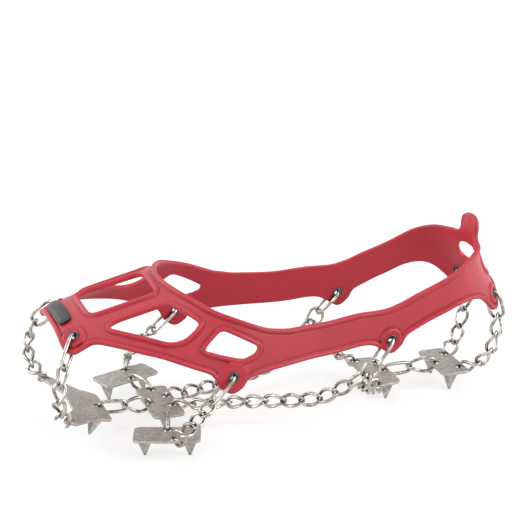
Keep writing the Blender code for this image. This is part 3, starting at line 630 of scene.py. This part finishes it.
def finish(name, metal, light, dark, rough, patches, grain, bump, web=None, corner_shade=None):
    """A procedural finish.

    Colour runs between light and dark and roughness between the two numbers of rough, in patches of a given
    scale per metre. grain is the scale of the fine relief and bump its height. web, where given, is the
    second (light, dark) pair for the set-back faces. The last argument paints shade into corners and
    creases:
    the shade's colour, its reach, and the openness of a fully shaded and of an unshaded corner.
    """
    material = bpy.data.materials.new(name)
    material.use_nodes = True
    tree = material.node_tree
    shader = tree.nodes["Principled BSDF"]
    shader.inputs["Metallic"].default_value = metal
    place = node(tree, "ShaderNodeTexCoord").outputs["Object"]
    cloud = node(tree, "ShaderNodeTexNoise", {"Vector": place, "Scale": patches, **CLOUD})
    cloud = node(tree, "ShaderNodeMapRange", {"Value": cloud.outputs["Fac"], **CLOUD_SPAN})
    cloud = cloud.outputs["Result"]
    colour = blended(tree, cloud, light, dark)
    if web:
        share = node(tree, "ShaderNodeAttribute", attribute_name="web").outputs["Fac"]
        colour = blended(tree, share, colour, blended(tree, cloud, *web))
    # Painted shade: ambient occlusion pulls the colour towards a dark shade in corners and creases.
    if corner_shade:
        shade_colour, reach, full, free = corner_shade
        corner = node(tree, "ShaderNodeAmbientOcclusion", {"Distance": reach}, samples=CORNER_SAMPLES)
        openness = {"Value": corner.outputs["AO"], "From Min": full, "From Max": free}
        unshaded = node(tree, "ShaderNodeMapRange", openness)
        colour = blended(tree, unshaded.outputs["Result"], shade_colour, colour)
    tree.links.new(colour, shader.inputs["Base Color"])
    fine = node(tree, "ShaderNodeTexNoise", {"Vector": place, "Scale": grain, **GRAIN})
    span = {"Value": fine.outputs["Fac"], "To Min": rough[0], "To Max": rough[1]}
    worn = node(tree, "ShaderNodeMapRange", span)
    tree.links.new(worn.outputs["Result"], shader.inputs["Roughness"])
    relief = node(tree, "ShaderNodeBump", {"Height": fine.outputs["Fac"], "Strength": 1.0, "Distance": bump})
    tree.links.new(relief.outputs["Normal"], shader.inputs["Normal"])
    return material


# The red rubber's last argument is painted shade: a dark red laid into its grooves and corners.
RUBBER = finish(
    "red_elastomer", 0.0, (0.52, 0.022, 0.044, 1), (0.47, 0.018, 0.037, 1), (0.34, 0.52), 70, 1900, 0.00003,
    ((0.50, 0.034, 0.055, 1), (0.45, 0.028, 0.047, 1)), ((0.20, 0.006, 0.012, 1), 0.002, 0.4, 0.97),
)
DARK_RUBBER = finish(
    "dark_elastomer", 0.0, (0.030, 0.031, 0.033, 1), (0.013, 0.013, 0.014, 1), (0.36, 0.58), 420, 1500,
    0.00009,
)
# Painted shade for both steels: a dark grey laid into corners and where links nest.
STEEL_CORNER_SHADE = ((0.035, 0.032, 0.028, 1), 0.003, 0.25, 0.85)
# The bright steel's broad light and dark patches are painted reflection: they stand in for dark surroundings
# mirrored in the wire.
STEEL_BRIGHT = finish(
    "bright_steel", 1.0, (0.66, 0.632, 0.577, 1), (0.17, 0.16, 0.143, 1), (0.06, 0.15), 260, 2600, 0.000004,
    corner_shade=STEEL_CORNER_SHADE,
)
STEEL_DULL = finish(
    "plate_steel", 1.0, (0.52, 0.505, 0.47, 1), (0.30, 0.29, 0.27, 1), (0.38, 0.66), 420, 2200, 0.00004,
    corner_shade=STEEL_CORNER_SHADE,
)
EYELET_STEEL = finish(
    "eyelet_steel", 1.0, (0.13, 0.13, 0.135, 1), (0.06, 0.06, 0.063, 1), (0.30, 0.48), 400, 2600, 0.00001
)


def harness():
    """The whole moulding: the left half from its pattern, and its mirror image."""
    pieces = [
        (spline(TOE_TO_HEEL, EDGE_STEP, "top", "back"), "top", "back"),
        (spline(HEEL_WINDOW, EDGE_STEP, "back", "back"), "back", "back"),
        (spline(TAB_TO_APEX, EDGE_STEP, "back", "top"), "back", "top"),
        (spline(TOP_WINDOW, EDGE_STEP, "top", "top"), "top", "top"),
    ]
    holes = [(clockwise(spline(w, EDGE_STEP)), None, None) for w in (SIDE_WINDOW, REAR_WINDOW)]
    eye_radius = EYELET_BARREL / 2 + HOLE_GAP
    eyes = [(clockwise(circle(c, eye_radius, EYE_STEPS)), None, None) for c in EYES.values()]
    verts, faces, web = moulded(pieces, holes, eyes, EDGE_ROWS, WEB_STEP, harness_relief, -WALL)
    verts[np.abs(verts[:, 1]) < ON_PLANE, 1] = 0
    count = len(verts)
    faces += [tuple(i + count for i in reversed(f)) for f in faces]
    verts = np.vstack((verts, verts * (1, -1, 1)))
    return mesh_object("harness_moulding", verts, faces, RUBBER, np.concatenate((web, web)))


def toe_patch():
    """The dark pad let into the toe band."""
    outline = (clockwise(spline(PATCH, PATCH_EDGE_STEP)), None, None)
    verts, faces, _ = moulded([outline], [], [], PATCH_ROWS, PATCH_STEP, patch_relief, -PATCH_SUNK)
    return mesh_object("toe_pad", verts, faces, DARK_RUBBER)


def flip(point, hand):
    """A point of the left side, or its mirror image on the right where hand is -1."""
    return np.array((point[0], point[1] * hand, point[2]), float)


def eyelet(name, centre, normal, sunk):
    """A turned ring with a rolled lip on each face of the wall, the outer one sunk into its boss."""
    bore = EYELET_BORE / 2
    barrel = EYELET_BARREL / 2
    flange = EYELET_FLANGE / 2
    half = WALL / 2 + EYELET_PROUD
    lip = [
        ((bore + flange) / 2 - (flange - bore) / 2 * math.cos(t), half + EYELET_LIP * math.sin(t))
        for t in np.linspace(0, math.pi, LIP_STEPS)
    ]
    rim = lip + [(barrel, half)]
    profile = [(r, h - sunk) for r, h in rim] + [(r, -h) for r, h in reversed(rim)]
    verts = []
    faces = []
    for turn in np.linspace(0, 2 * math.pi, EYELET_STEPS, endpoint=False):
        verts += [(r * math.cos(turn), r * math.sin(turn), h) for r, h in profile]
    size = len(profile)
    for i in range(EYELET_STEPS):
        for k in range(size):
            j = (i + 1) % EYELET_STEPS
            n = (k + 1) % size
            faces.append((i * size + k, j * size + k, j * size + n, i * size + n))
    turned = Vector(normal).to_track_quat("Z", "Y").to_matrix()
    verts = [turned @ Vector(v) + Vector(centre) for v in verts]
    return mesh_object(name, verts, faces, EYELET_STEEL)


def link(begin, end, out_begin, out_end, turn, half):
    """Middle line of one wire link between two contact points.

    turn is (first, last) in quarter turns. Most of the twist is in the sides, so the bends stay nearly flat.
    """
    reach = end - begin
    length = np.linalg.norm(reach)
    axis = reach / length
    tip = length / 2 + LINK_REACH
    middle = (begin + end) / 2
    power = 2 / (LONG_LINK_FORM if tip > LONG_LINK * half else LINK_FORM)
    centres = []
    for t in LINK_TURN:
        x = math.copysign(abs(math.cos(t)) ** power, math.cos(t)) * tip
        y = math.copysign(abs(math.sin(t)) ** power, math.sin(t)) * half
        s = smooth(-tip, tip, x)
        out = out_begin * (1 - s) + out_end * s
        out = out - axis * (out @ axis)
        out = out / np.linalg.norm(out)
        across = np.cross(axis, out)
        angle = (turn[0] + (turn[1] - turn[0]) * s) * math.pi / 2
        wide = math.cos(angle) * across + math.sin(angle) * out
        centres.append(middle + axis * x + wide * y)
    return centres


def wire(name, loops):
    """Closed round wires through millimetre points, a little worn at both ends, as one object."""
    curve = bpy.data.curves.new(name, "CURVE")
    curve.dimensions = "3D"
    curve.bevel_depth = WIRE / 2 * MM
    curve.bevel_resolution = WIRE_BEVEL
    for loop in loops:
        line = curve.splines.new("POLY")
        line.points.add(len(loop) - 1)
        line.use_cyclic_u = True
        line.use_smooth = True
        for point, co, t in zip(line.points, loop, LINK_TURN):
            point.co = (*(Vector(co) * MM), 1)
            point.radius = 1 - END_WEAR * math.cos(t) ** 2
    curve.materials.append(STEEL_BRIGHT)
    return bpy.data.objects.new(name, curve)


def along_path(points, count):
    """count + 1 points at equal distances along a smooth line through the points."""
    points = [np.array(p, float) for p in points]
    ring = [2 * points[0] - points[1]] + points + [2 * points[-1] - points[-2]]
    line = []
    for p0, p1, p2, p3 in zip(ring, ring[1:], ring[2:], ring[3:]):
        line += [cubic(p0, p1, p2, p3, t) for t in np.linspace(0, 1, PATH_STEPS, endpoint=False)]
    line.append(points[-1])
    line = np.array(line)
    gone = np.concatenate(([0], np.cumsum(np.linalg.norm(np.diff(line, axis=0), axis=1))))
    marks = np.linspace(0, gone[-1], count + 1)
    return [np.array([np.interp(m, gone, line[:, k]) for k in range(3)]) for m in marks]


def run(
    name, points, groups, out_begin, out_end,
    first_turn=0, half=LINK_HALF_WIDTH, last_turn=1, hand=1, lie=None,
):
    """A length of chain. groups: the links in each CAD node. lie: where each inner contact faces."""
    total = sum(groups)
    contacts = along_path(points, total)
    outs = [out_begin + (out_end - out_begin) * i / total for i in range(total + 1)]
    if lie:
        outs[1:-1] = lie
    outs = [o / np.linalg.norm(o) for o in outs]
    at = 0
    for number, size in enumerate(groups, 1):
        loops = []
        for i in range(at, at + size):
            turn = (first_turn if i == 0 else 0, last_turn if i == total - 1 else 1)
            turn = (-hand * turn[0], -hand * turn[1])
            to_plate = half == LINK_HALF_WIDTH and i == total - 1
            wide = PLATE_LINK_HALF_WIDTH if to_plate else half
            loops.append(link(contacts[i], contacts[i + 1], outs[i], outs[i + 1], turn, wide))
        label = name if len(groups) == 1 else f"{name}_{number}"
        show(wire(label + "_wire", loops), label, "bright_steel", label)
        at += size


def rounded(corners, radius, count=6):
    """A polygon with its corners rounded."""
    corners = [np.array(c, float) for c in corners]
    line = []
    for before, corner, after in zip(corners[-1:] + corners[:-1], corners, corners[1:] + corners[:1]):
        one = (before - corner) / np.linalg.norm(before - corner)
        two = (after - corner) / np.linalg.norm(after - corner)
        half = math.acos(max(-1, min(1, one @ two))) / 2
        cut = min(radius / math.tan(half), CORNER_SHARE * np.linalg.norm(before - corner))
        cut = min(cut, CORNER_SHARE * np.linalg.norm(after - corner))
        p0 = corner + one * cut
        p2 = corner + two * cut
        for t in np.linspace(0, 1, count + 1):
            line.append(tuple((1 - t) ** 2 * p0 + 2 * t * (1 - t) * corner + t * t * p2))
    return line


def prong():
    """A spike of curved sheet running down to a point, as (points, faces) about the plate's middle plane."""
    across = np.linspace(-1, 1, SPIKE_COLUMNS)
    downward = np.linspace(0, 1, SPIKE_ROWS)
    fold = FOLD_CREST - FOLD_SLOPE * (np.sqrt(across**2 + FOLD_SOFT) - FOLD_SOFT_DROP)
    verts = []
    for v in downward:
        wide = SPIKE_WIDTH / 2 * (1 - v) ** SPIKE_TAPER + SPIKE_TIP_WIDTH / 2 * v
        deep = SPIKE_DEPTH * (1 - v) + SPIKE_TIP_DEPTH * v
        wall = SPIKE_WALL * (1 - v) + SPIKE_TIP_WALL * v
        z = -PLATE_THICK / 2 + SPIKE_ROOT - v * (SPIKE_REACH - PLATE_THICK + SPIKE_ROOT)
        middle = SPIKE_WALL / 2 + deep * fold
        from_mark = np.hypot(wide * across, z + PLATE_THICK / 2 + SPIKE_MARK_DROP)
        shallow = smooth(SPIKE_MARK / 2 - SPIKE_MARK_IN, SPIKE_MARK / 2 + SPIKE_MARK_OUT, from_mark)
        mark = SPIKE_MARK_DEPTH * (1 - shallow)
        front = [(wide * u, y + wall / 2, z) for u, y in zip(across, middle)]
        back = [(wide * u, y - wall / 2 + m, z) for u, y, m in zip(across, middle, mark)]
        verts += front + back[::-1]
    size = 2 * len(across)
    faces = []
    for i in range(len(downward) - 1):
        for k in range(size):
            n = (k + 1) % size
            faces.append((i * size + k, i * size + n, (i + 1) * size + n, (i + 1) * size + k))
    last = (len(downward) - 1) * size
    faces.append(tuple(range(size)))
    faces.append(tuple(range(last + size - 1, last - 1, -1)))
    return verts, faces


def plate(name, corners, holes, spikes, seat):
    """A stamped plate with rounded edges and spikes folded down from it."""
    ring = np.linspace(0, 2 * math.pi, HOLE_STEPS, endpoint=False)
    loops = [rounded(corners, PLATE_CORNER)]
    loops += [[(x + HOLE / 2 * math.cos(t), y + HOLE / 2 * math.sin(t)) for t in ring] for x, y in holes]
    curve = bpy.data.curves.new(name, "CURVE")
    curve.dimensions = "2D"
    curve.fill_mode = "BOTH"
    curve.extrude = (PLATE_THICK / 2 - PLATE_EDGE) * MM
    curve.bevel_depth = PLATE_EDGE * MM
    curve.offset = -PLATE_EDGE * MM
    curve.bevel_resolution = PLATE_BEVEL
    for loop in loops:
        line = curve.splines.new("POLY")
        line.points.add(len(loop) - 1)
        line.use_cyclic_u = True
        for point, co in zip(line.points, loop):
            point.co = (co[0] * MM, co[1] * MM, 0, 1)
    drawn = bpy.data.objects.new(name, curve)
    bpy.context.scene.collection.objects.link(drawn)
    bpy.context.view_layer.update()
    mesh = bpy.data.meshes.new_from_object(drawn.evaluated_get(bpy.context.evaluated_depsgraph_get()))
    bpy.data.objects.remove(drawn)
    bm = bmesh.new()
    bm.from_mesh(mesh)
    bmesh.ops.remove_doubles(bm, verts=bm.verts[:], dist=WELD)
    verts, faces = prong()
    for x, y, turn in spikes:
        place = Matrix.Translation((x * MM, y * MM, 0)) @ Matrix.Rotation(turn, 4, "Z")
        made = [bm.verts.new(place @ (Vector(v) * MM)) for v in verts]
        for face in faces:
            bm.faces.new([made[i] for i in face])
    bmesh.ops.recalc_face_normals(bm, faces=bm.faces[:])
    bm.transform(seat)
    bm.to_mesh(mesh)
    bm.free()
    mesh.shade_smooth()
    mesh.set_sharp_from_angle(angle=SHARP_ANGLE)
    mesh.materials.clear()
    mesh.materials.append(STEEL_DULL)
    return bpy.data.objects.new(name + "_stamping", mesh)


def seated(origin, heading=0.0, pitch=0.0):
    """A plate's frame from the middle of its top face: heading turns about Z, pitch lifts the toe end."""
    matrix = Matrix.LocRotScale(Vector(origin) * MM, Euler((0, pitch, heading)), None)
    return matrix @ Matrix.Translation((0, 0, -PLATE_THICK / 2 * MM))


# Plates. Each is drawn in its own flat frame, x along the boot and y to the wearer's right.
SPIKE_Y = 14.0
LEFT_HEADING = math.radians(-19)
BALL_SIDE = ((-19, -9.5), (19, -9.5), (19, 9.5), (-19, 9.5))
PLATES = {
    "plate_front": (
        (
            (-20, -35), (-12, -36), (4, -22), (14.5, -19), (14.5, 19), (4, 22), (-12, 36), (-20, 35),
            (-8, 12), (-8, -12),
        ),
        ((-14.4, -32.0), (-14.4, 32.0), (10.7, 0)),
        ((5.5, -SPIKE_Y, 0), (5.5, SPIKE_Y, math.pi)),
        seated((-101, 0, 19.5), pitch=math.radians(19)),
    ),
    "plate_ball_left": (
        BALL_SIDE,
        ((4.4, -6.3), (0, 5.8)),
        ((-12.7, 0, 0), (12.7, 0, 0)),
        seated((-62.8, -44.8, PLATE_TOP), LEFT_HEADING),
    ),
    "plate_ball_right": (
        BALL_SIDE,
        ((0, -5.8), (4.4, 6.3)),
        ((-12.7, 0, math.pi), (12.7, 0, math.pi)),
        seated((-62.8, 44.8, PLATE_TOP), -LEFT_HEADING),
    ),
    "plate_ball_centre": (
        ((-9.5, -22), (9.5, -22), (9.5, 22), (-9.5, 22)),
        ((0, -18.2), (0, 18.2), (-5.6, 0), (5.6, -6.5), (5.6, 6.5)),
        ((0, -10.5, 0), (0, 10.5, math.pi)),
        seated((-54, 0, PLATE_TOP)),
    ),
    "plate_heel_front": (
        ((-9, -23), (9, -20), (9, 20), (-9, 23)),
        ((-5, -18.6), (-5, 18.6), (5.2, 0)),
        ((2, -13.5, 0), (2, 13.5, math.pi)),
        seated((HEEL_PLATE_X, 0, PLATE_TOP)),
    ),
    "plate_heel_rear": (
        ((-9, -20), (9, -20), (9, 20), (-9, 20)),
        ((5.4, -11), (5.4, 11), (-5.4, 0)),
        ((-2, -14, 0), (-2, 14, math.pi)),
        seated((129.5, 0, PLATE_TOP)),
    ),
}


def on_plate(plate_name, x, y):
    """A point in the middle of a plate's thickness."""
    return np.array(PLATES[plate_name][3] @ Vector((x * MM, y * MM, 0))) / MM


def hole_centre(plate_name, index):
    """The middle of a plate's hole."""
    return on_plate(plate_name, *PLATES[plate_name][1][index])


def hole_contact(plate_name, index, goal):
    """Where a link pulling towards a point bears on the rim of a plate's hole."""
    centre = hole_centre(plate_name, index)
    normal = np.array(PLATES[plate_name][3].col[2])[:3]
    pull = np.array(goal, float) - centre
    pull = pull - normal * (pull @ normal)
    return centre + pull / np.linalg.norm(pull) * HOLE_BEARING


show(harness(), "harness", "red_elastomer", "harness")
show(toe_patch(), "harness", "dark_elastomer", "toe_patch")
for plate_name, (corners, holes, spikes, seat) in PLATES.items():
    show(plate(plate_name, corners, holes, spikes, seat), plate_name, "plate_steel", plate_name)

DOWN = np.array((0, 0, -1.0))
# Where each inner contact of the toe and ball chains of the left side faces.
TOE_LIE = ((-0.05, -1.0, 0.08), (-0.05, -1.0, 0.08), (-0.05, -1.0, 0.08))
BALL_LIE = ((0.20, -0.95, -0.25), (0.20, -0.95, -0.25), (-0.45, -0.85, 0.26))
# Where each eyelet link of the left side meets the next link, and the points that its chains pass.
LINK_ENDS = {
    "toe": (-118.6, -36.8, 58.6),
    "ball": (-40.5, -58.6, 35.4),
    "side": (63.4, -45.2, 38.8),
    "rear": (155.8, -21.8, 48.4),
}
KNOT = (58.3, -44.6, 31.6)
TOE_VIA = ((-121.4, -39.8, 50.6), (-122.9, -40.4, 41.6), (-122.4, -38.2, 33.0))
BALL_VIA = ((-47.0, -60.4, 29.4), (-54.0, -60.6, 22.2), (-58.6, -58.8, 17.6))
HEEL_VIA = ((58.6, -39.6, 23.8), (64.4, -32.0, 16.8))
ARCH_VIA = ((49.6, -41.6, 26.6), (41.5, -36.6, 20.5), (31.0, -30.0, 14.5), (-6.0, -16.0, 12.7))
REAR_VIA = ((153.4, -22.2, 37.6), (151.2, -21.8, 28.0), (147.2, -19.0, 18.6))
# The hole that a plate's tie chain holds.
TIE_HOLE = 2
for hand, tag in ((1, "left"), (-1, "right")):
    near = "plate_ball_left" if hand == 1 else "plate_ball_right"
    starts = {}
    outs = {}
    for spot, pattern in EYES.items():
        outward = flip(axes([pattern])[2][0], hand)
        centre = flip(lift([pattern], -WALL / 2)[0], hand)
        ring = eyelet(f"eyelet_{spot}_{tag}_ring", centre, outward, BOSSES[spot][1])
        show(ring, "harness", "eyelet_steel", f"eyelet_{spot}_{tag}")
        ending = flip(LINK_ENDS[spot], hand)
        if spot == "rear":
            ending = ending - outward * ((ending - centre) @ outward - REAR_LEAN)
        pull = ending - centre
        pull = pull - outward * (pull @ outward)
        begin = centre + pull / np.linalg.norm(pull) * EYELET_BEARING
        run(f"eyelet_link_{spot}_{tag}", (begin, ending), (1,), outward, outward, 1, EYELET_LINK_HALF_WIDTH)
        starts[spot] = ending
        outs[spot] = outward

    outer_hole = 0 if hand == 1 else 1
    inner_hole = 1 - outer_hole
    toe_via = [flip(p, hand) for p in TOE_VIA]
    run(
        f"toe_chain_{tag}",
        [starts["toe"], *toe_via, hole_contact("plate_front", outer_hole, toe_via[-1])],
        (1, 1, 1, 1), outs["toe"], DOWN, hand=hand, lie=[flip(d, hand) for d in TOE_LIE],
    )
    ball_via = [flip(p, hand) for p in BALL_VIA]
    run(
        f"ball_chain_{tag}",
        [starts["ball"], *ball_via, hole_contact(near, outer_hole, ball_via[-1])],
        (1, 1, 1, 1), outs["ball"], DOWN, hand=hand, lie=[flip(d, hand) for d in BALL_LIE],
    )
    knot = flip(KNOT, hand)
    run(
        f"junction_link_{tag}", (starts["side"], knot), (1,),
        outs["side"], outs["side"], 0, JUNCTION_HALF_WIDTH, 0,
    )
    fall = (knot - starts["side"]) / np.linalg.norm(knot - starts["side"])
    spread = np.cross(fall, outs["side"]) * -hand * JUNCTION_SPREAD
    bearing = knot - fall * JUNCTION_BEARING
    heel_via = [flip(p, hand) for p in HEEL_VIA]
    run(
        f"heel_chain_{tag}",
        [bearing + spread, *heel_via, hole_contact("plate_heel_front", outer_hole, heel_via[-1])],
        (4,), outs["side"], DOWN, 1, hand=hand,
    )
    arch_via = [flip(p, hand) for p in ARCH_VIA]
    arch_hole = 3 if hand == 1 else 4
    run(
        f"arch_chain_{tag}",
        [bearing - spread, *arch_via, hole_contact("plate_ball_centre", arch_hole, arch_via[-1])],
        (5, 6), outs["side"], DOWN, 1, hand=hand,
    )
    rear_via = [flip(p, hand) for p in REAR_VIA]
    run(
        f"rear_chain_{tag}",
        [starts["rear"], *rear_via, hole_contact("plate_heel_rear", outer_hole, rear_via[-1])],
        (1, 1, 1, 1), outs["rear"], DOWN, hand=hand,
    )
    inner = hole_centre(near, inner_hole)
    outer = hole_centre("plate_ball_centre", outer_hole)
    run(
        f"tie_ball_{tag}",
        (hole_contact(near, inner_hole, outer), hole_contact("plate_ball_centre", outer_hole, inner)),
        (1,), DOWN, DOWN, 1,
    )

front_hole = hole_centre("plate_front", TIE_HOLE)
centre_hole = hole_centre("plate_ball_centre", TIE_HOLE)
run(
    "tie_front",
    (
        hole_contact("plate_front", TIE_HOLE, centre_hole),
        hole_contact("plate_ball_centre", TIE_HOLE, front_hole),
    ),
    (2,), DOWN, DOWN, 1,
)
heel_hole = hole_centre("plate_heel_front", TIE_HOLE)
rear_hole = hole_centre("plate_heel_rear", TIE_HOLE)
run(
    "tie_heel",
    (
        hole_contact("plate_heel_front", TIE_HOLE, rear_hole),
        hole_contact("plate_heel_rear", TIE_HOLE, heel_hole),
    ),
    (2,), DOWN, DOWN, 1,
)


def floor():
    """A pale floor that shows white to the camera and in the metal, and keeps the shadow."""
    mesh = bpy.data.meshes.new("floor")
    corners = [(x * FLOOR_HALF, y * FLOOR_HALF, 0) for x, y in ((-1, -1), (1, -1), (1, 1), (-1, 1))]
    mesh.from_pydata(corners, [], [(0, 1, 2, 3)])
    material = bpy.data.materials.new("floor")
    material.use_nodes = True
    tree = material.node_tree
    shader = tree.nodes["Principled BSDF"]
    shader.inputs["Base Color"].default_value = FLOOR_COLOUR
    shader.inputs["Roughness"].default_value = FLOOR_ROUGHNESS
    shader.inputs["Specular IOR Level"].default_value = FLOOR_GLOSS
    shader.inputs["Emission Color"].default_value = WHITE
    place = node(tree, "ShaderNodeTexCoord").outputs["Object"]
    far = node(tree, "ShaderNodeVectorMath", {0: place}, operation="LENGTH").outputs["Value"]
    glow = node(tree, "ShaderNodeMapRange", {"Value": far, **FLOOR_GLOW})
    tree.links.new(seen(tree, glow.outputs["Result"]), shader.inputs["Emission Strength"])
    mesh.materials.append(material)
    obj = bpy.data.objects.new("floor", mesh)
    bpy.context.scene.collection.objects.link(obj)


def seen(tree, strength):
    """A strength that only camera, glossy and transmission rays meet."""
    path = node(tree, "ShaderNodeLightPath").outputs
    met = path["Is Camera Ray"]
    for kind in ("Is Glossy Ray", "Is Transmission Ray"):
        met = node(tree, "ShaderNodeMath", {0: met, 1: path[kind]}, operation="MAXIMUM").outputs[0]
    return node(tree, "ShaderNodeMath", {0: met, 1: strength}, operation="MULTIPLY").outputs[0]


def lamp(name, place, size, power):
    """A soft rectangular lamp."""
    light = bpy.data.lights.new(name, "AREA")
    light.shape = "RECTANGLE"
    light.size, light.size_y = size
    light.energy = power
    obj = bpy.data.objects.new(name, light)
    obj.location = place
    obj.rotation_euler = (LAMP_AIM - Vector(place)).to_track_quat("-Z", "Y").to_euler()
    bpy.context.scene.collection.objects.link(obj)


def world():
    """Soft grey light all round, which the camera sees as white."""
    made = bpy.data.worlds.new("studio")
    made.use_nodes = True
    tree = made.node_tree
    background = tree.nodes["Background"]
    background.inputs["Color"].default_value = WHITE
    strength = node(tree, "ShaderNodeMath", {0: seen(tree, 1 - AMBIENT), 1: AMBIENT}, operation="ADD")
    tree.links.new(strength.outputs[0], background.inputs["Strength"])
    bpy.context.scene.world = made


floor()
world()
for lamp_name, (place, size, power) in LAMPS.items():
    lamp(lamp_name, place, size, power)

camera = bpy.data.objects.new("camera", bpy.data.cameras.new("camera"))
camera.data.sensor_width = SENSOR
camera.data.lens = LENS
camera.data.clip_start = NEAR
away = Vector((
    math.sin(AZIMUTH) * math.cos(ELEVATION), -math.cos(AZIMUTH) * math.cos(ELEVATION), math.sin(ELEVATION)
))
camera.location = Vector(TARGET) * MM + SHIFT + away * DISTANCE * MM
camera.rotation_euler = (-away).to_track_quat("-Z", "Y").to_euler()
bpy.context.scene.collection.objects.link(camera)
bpy.context.scene.camera = camera
bpy.context.scene.view_settings.view_transform = "Standard"
